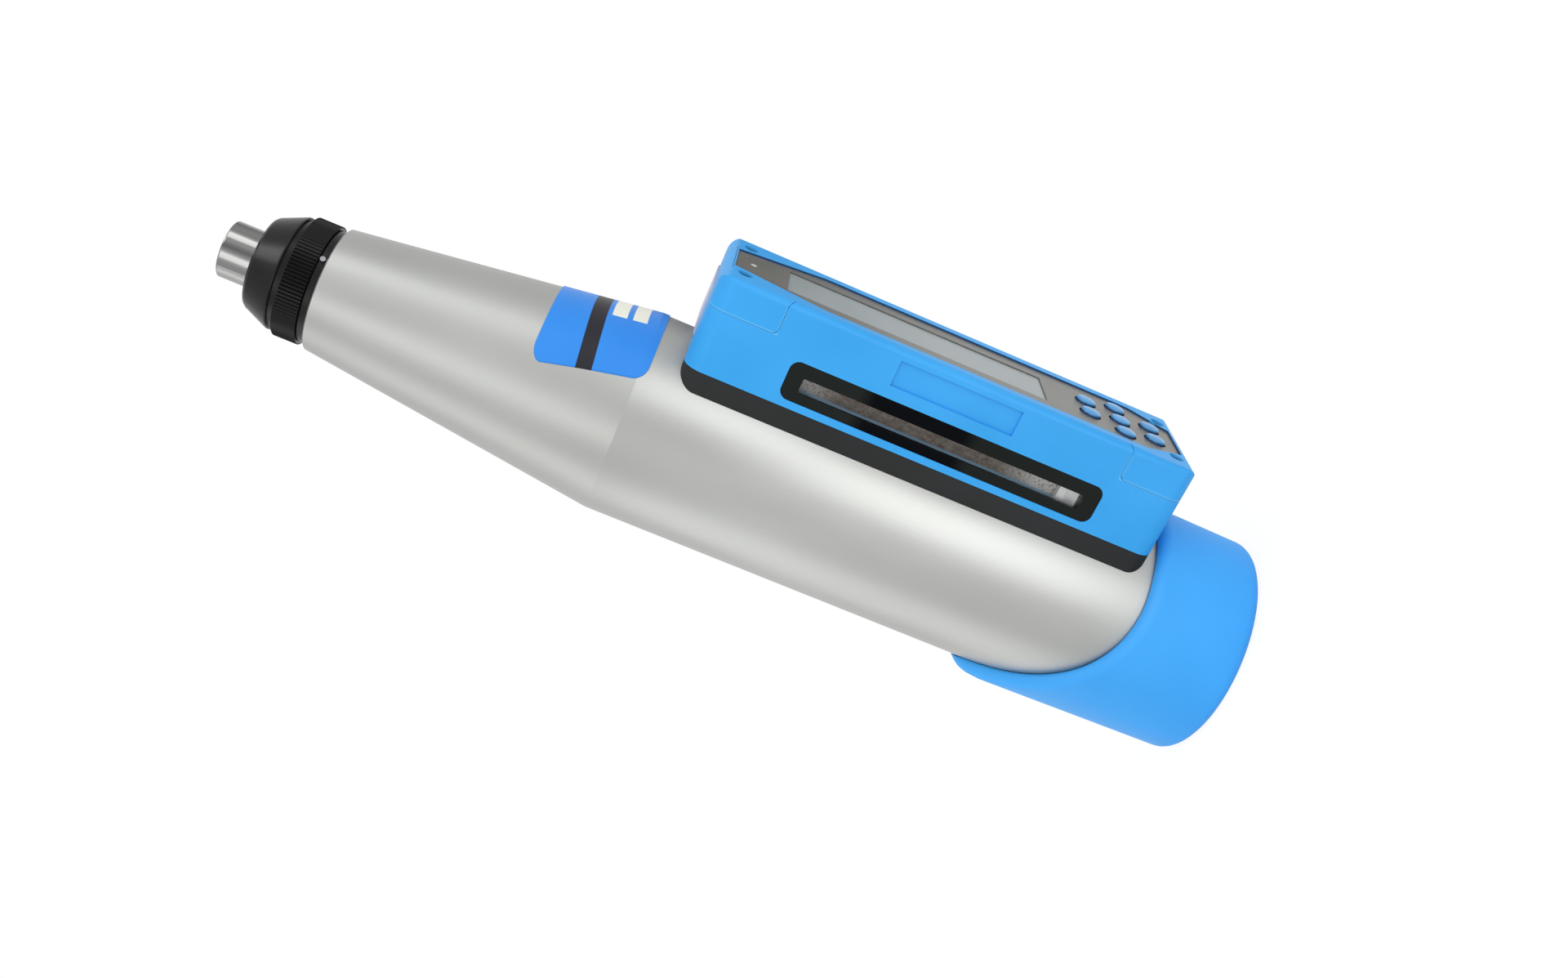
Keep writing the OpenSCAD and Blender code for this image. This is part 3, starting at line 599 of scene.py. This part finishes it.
bmesh.ops.holes_fill(bm, edges=bm.edges, sides=0)
bmesh.ops.recalc_face_normals(bm, faces=bm.faces)
cap = put("soft_cap", bm, "cap_blue", "housing_body", "rear_cap")
print("soft cap rows:", len(rows), "faces:", len(cap.data.polygons))

# %% [markdown]
# The nose cap's ring is straight knurled with a hundred teeth. Its rims are eased like
# the rest, but the edges that run along the axis are the teeth themselves, and they
# stay as sharp as the knurling wheel left them.

# %% Nose ring
RING_EASE = 0.15
TOOTH_LEAN, TOOTH_WIDTH = 0.9, 0.7 * MM


def not_a_tooth(edge):
    along = (edge.verts[0].co - edge.verts[1].co).normalized()
    return abs(along.z) < TOOTH_LEAN and edge.calc_length() > TOOTH_WIDTH


bm = copy_of("nose_cap")
edges = ease(bm, RING_EASE, keep=not_a_tooth)
ring = put("nose_ring", bm, "nose_black", "housing_body", "nose_cap")
print("nose ring eased edges:", edges, "faces:", len(ring.data.polygons))

# %% [markdown]
# The pointer that the hammer mass pushes along the window is a small bright casting.
# Its front end is a raised ridge, read against the strip, and the rest of its face is
# cut into four facets that slope inwards. The face of the solid is split once, then
# inset, raised and poked.

# %% Pointer
RIDGE = 2.3 * MM
RIDGE_INSET, RIDGE_RISE = 0.25 * MM, 0.22 * MM
FACE_RIM, FACE_DIP = 0.35 * MM, 0.5 * MM
FACING, FACE_GAP = -0.99, 0.01 * MM

bm = copy_of("rider")
face_y = min(v.co.y for v in bm.verts)
front_z = max(v.co.z for v in bm.verts)
bmesh.ops.bisect_plane(bm, geom=bm.verts[:] + bm.edges[:] + bm.faces[:],
                       plane_co=(0, 0, front_z - RIDGE), plane_no=(0, 0, 1))
shown = [f for f in bm.faces
         if f.normal.y < FACING and abs(f.calc_center_median().y - face_y) < FACE_GAP]
ridge = [f for f in shown if f.calc_center_median().z > front_z - RIDGE]
rest = [f for f in shown if f not in ridge]
bmesh.ops.inset_region(bm, faces=ridge, thickness=RIDGE_INSET, depth=RIDGE_RISE)
bmesh.ops.inset_region(bm, faces=rest, thickness=FACE_RIM, depth=0.0)
bmesh.ops.poke(bm, faces=rest, offset=-FACE_DIP, center_mode="MEAN")
pointer = put("pointer", bm, "rider_silver", "rider_body", "rider")
print("pointer faces:", len(pointer.data.polygons))

# %% [markdown]
# Three coil springs work inside the barrel. A wire is a small round face, spun about
# the axis while it climbs. The long ones join two bodies that slide apart, so they
# are tied to neither body.

# %% Springs
WIRE_SIDES, TURN_STEPS = 10, 20


def coil(low, high, mean, wire, turns):
    """Winds a wire round the axis. All sizes are in millimetres."""
    steps = turns * TURN_STEPS
    climb = (high - low - 2 * wire) / steps
    start = Matrix.Translation((mean * MM, 0, (low + wire) * MM))
    bm = bmesh.new()
    bmesh.ops.create_circle(bm, cap_ends=True, segments=WIRE_SIDES, radius=wire * MM,
                            matrix=start @ Matrix.Rotation(math.pi / 2, 4, "X"))
    bmesh.ops.spin(bm, geom=bm.verts[:] + bm.edges[:] + bm.faces[:], cent=(0, 0, 0),
                   axis=(0, 0, 1), dvec=(0, 0, climb * MM), angle=turns * math.tau,
                   steps=steps, use_merge=False)
    bmesh.ops.recalc_face_normals(bm, faces=bm.faces)
    return bm


def spring_box(node):
    """Lowest and highest point of a spring, in millimetres."""
    low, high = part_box(node)
    return low[2] / MM, high[2] / MM


low, high = spring_box("compression_spring")
spring = put("return_spring", coil(low, high, mean=18.3, wire=0.7, turns=5), "inner_steel",
             None, "compression_spring")
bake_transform(spring)
low, high = spring_box("impact_spring")
spring = put("impact_coil", coil(low, high, mean=12, wire=0.9, turns=14), "inner_steel",
             None, "impact_spring")
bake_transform(spring)
low, high = spring_box("buffer_spring")
spring = put("buffer_coil", coil(low, high, mean=3.1, wire=0.5, turns=6), "inner_steel",
             "carriage", "buffer_spring")
print("buffer coil faces:", len(spring.data.polygons))

# %% [markdown]
# A plain pale floor and a plain white room. The camera and mirror-like rays see white
# at strength one, while the light that falls on the object stays at a plain level.
# The floor glows a little under white and gets the rest from the light on it, which
# is where the shadow lies.

# %% Floor and room
ROOM_LIGHT = 0.88
FLOOR_HALF = 3.0
FLOOR_GLOW = 0.88
FLOOR_MATT, FLOOR_SHADE = (0.9, 0.9, 0.9, 1), (0.16, 0.16, 0.16, 1)


def seen_rays(tree):
    """One for rays that show the room: camera, mirror and glass rays."""
    path = add(tree, "LightPath")
    first = add(tree, "Math", operation="MAXIMUM")
    second = add(tree, "Math", operation="MAXIMUM")
    join(tree, path, "Is Camera Ray", first, 0)
    join(tree, path, "Is Glossy Ray", first, 1)
    join(tree, first, "Value", second, 0)
    join(tree, path, "Is Transmission Ray", second, 1)
    return second


room = bpy.data.worlds.new("white_room")
scene.world = room
room.use_nodes = True
tree = room.node_tree
back = tree.nodes["Background"]
fill(back, Color=(1, 1, 1, 1))
level = add(tree, "MapRange")
fill(level, To_Min=ROOM_LIGHT, To_Max=1.0)
join(tree, seen_rays(tree), "Value", level, "Value")
join(tree, level, "Result", back, "Strength")

floor_finish = bpy.data.materials.new("pale_floor")
floor_finish.use_nodes = True
tree = floor_finish.node_tree
tree.nodes.remove(tree.nodes["Principled BSDF"])
matt = add(tree, "BsdfDiffuse")
fill(matt, Color=FLOOR_MATT)
shade = add(tree, "BsdfDiffuse")
fill(shade, Color=FLOOR_SHADE)
glow = add(tree, "Emission")
fill(glow, Strength=FLOOR_GLOW)
both = add(tree, "AddShader")
choice = add(tree, "MixShader")
join(tree, glow, "Emission", both, 0)
join(tree, shade, "BSDF", both, 1)
join(tree, seen_rays(tree), "Value", choice, "Fac")
join(tree, matt, "BSDF", choice, 1)
join(tree, both, "Shader", choice, 2)
join(tree, choice, "Shader", tree.nodes["Material Output"], "Surface")

bm = bmesh.new()
bmesh.ops.create_grid(bm, x_segments=1, y_segments=1, size=FLOOR_HALF)
mesh = bpy.data.meshes.new("floor")
bm.to_mesh(mesh)
bm.free()
mesh.materials.append(floor_finish)
floor = bpy.data.objects.new("floor", mesh)
scene.collection.objects.link(floor)
print("floor half width:", FLOOR_HALF)

# %% [markdown]
# Studio light round the upright hammer. A lamp's strength is written as the brightness
# that a mirror would show, because most of the portrait is soft metal. Three strips
# stand close to the barrel and draw its bright bands. Two higher lamps draw the pair of
# streaks on the cone, whose skin leans back and mirrors a higher part. A weaker one fills
# the far side, and one near the ceiling lights the nose cap's taper. The strips and the
# taper's lamp are for mirrors only, and the key lamp is for matt surfaces only, so that
# each can be set by itself.

# %% Lamps
HAMMER_MIDDLE = 0.13


def lamp(name, turn, height, away, wide, tall, shine, aim=HAMMER_MIDDLE):
    """A soft box in metres, at a turn in degrees from display side to window side."""
    light = bpy.data.lights.new(name, "AREA")
    light.shape = "RECTANGLE"
    light.size, light.size_y = wide, tall
    light.energy = shine * math.pi * wide * tall
    item = bpy.data.objects.new(name, light)
    scene.collection.objects.link(item)
    angle = math.radians(-turn)
    item.location = (away * math.cos(angle), away * math.sin(angle), height)
    look = Vector((0, 0, aim)) - item.location
    item.rotation_euler = look.to_track_quat("-Z", "Y").to_euler()
    item.visible_camera = False
    return item


near = lamp("near_strip", turn=54, height=0.0555, away=0.12, wide=0.08, tall=0.111,
            shine=1.85, aim=0.0555)
upper = lamp("upper_strip", turn=38, height=0.145, away=0.12, wide=0.06, tall=0.06,
             shine=1.7, aim=0.145)
far = lamp("far_strip", turn=158, height=0.08, away=0.12, wide=0.09, tall=0.16,
           shine=0.57, aim=0.08)
lamp("cone_lamp", turn=15, height=0.55, away=0.85, wide=0.35, tall=0.5, shine=1.5)
lamp("window_lamp", turn=100, height=0.52, away=0.85, wide=0.38, tall=0.5, shine=1.5)
lamp("back_lamp", turn=165, height=0.36, away=0.8, wide=0.45, tall=0.45, shine=0.9)
taper = lamp("taper_lamp", turn=32, height=1.03, away=0.48, wide=0.35, tall=0.35,
             shine=7.0, aim=0.26)
key = lamp("key_lamp", turn=47, height=0.5, away=0.8, wide=0.5, tall=0.5, shine=1.7)
for item in (near, upper, far, taper):
    item.visible_diffuse = False
key.visible_glossy = False
print("lamps:", len(bpy.data.lights))

# %% [markdown]
# The display side is seen at a low angle, where film and glass turn into mirrors. The
# studio behind it was not all white: the front end of the display mirrors something
# dark that fades out towards the floor. A card with that fade stands there. Only mirror
# rays see it, so it takes no light away.

# %% Dark card
CARD_TOP, CARD_HALF = 0.2, 0.35
CARD_X, CARD_Y, CARD_GAP = 0.2, 0.6, 0.001
CARD_DARK = 0.125
CARD_PALE, CARD_DEEP = 0.95, 0.05

card_finish = bpy.data.materials.new("fading_card")
card_finish.use_nodes = True
tree = card_finish.node_tree
tree.nodes.remove(tree.nodes["Principled BSDF"])
place = add(tree, "TexCoord")
apart = add(tree, "SeparateXYZ")
fade = add(tree, "MapRange")
fill(fade, From_Max=CARD_DARK, To_Min=CARD_PALE, To_Max=CARD_DEEP)
glow = add(tree, "Emission")
join(tree, place, "Object", apart, "Vector")
join(tree, apart, "Z", fade, "Value")
join(tree, fade, "Result", glow, "Strength")
join(tree, glow, "Emission", tree.nodes["Material Output"], "Surface")

bm = bmesh.new()
bmesh.ops.create_grid(bm, x_segments=1, y_segments=1, size=1.0)
bmesh.ops.scale(bm, verts=bm.verts, vec=(CARD_HALF, CARD_TOP / 2, 1))
bmesh.ops.rotate(bm, verts=bm.verts, matrix=Matrix.Rotation(math.pi / 2, 3, "X"))
bmesh.ops.translate(bm, verts=bm.verts, vec=(CARD_X, CARD_Y, CARD_TOP / 2 + CARD_GAP))
mesh = bpy.data.meshes.new("dark_card")
bm.to_mesh(mesh)
bm.free()
mesh.materials.append(card_finish)
card = bpy.data.objects.new("dark_card", mesh)
scene.collection.objects.link(card)
card.visible_camera = card.visible_diffuse = card.visible_shadow = False
card.visible_transmission = False
print("card height:", CARD_TOP)
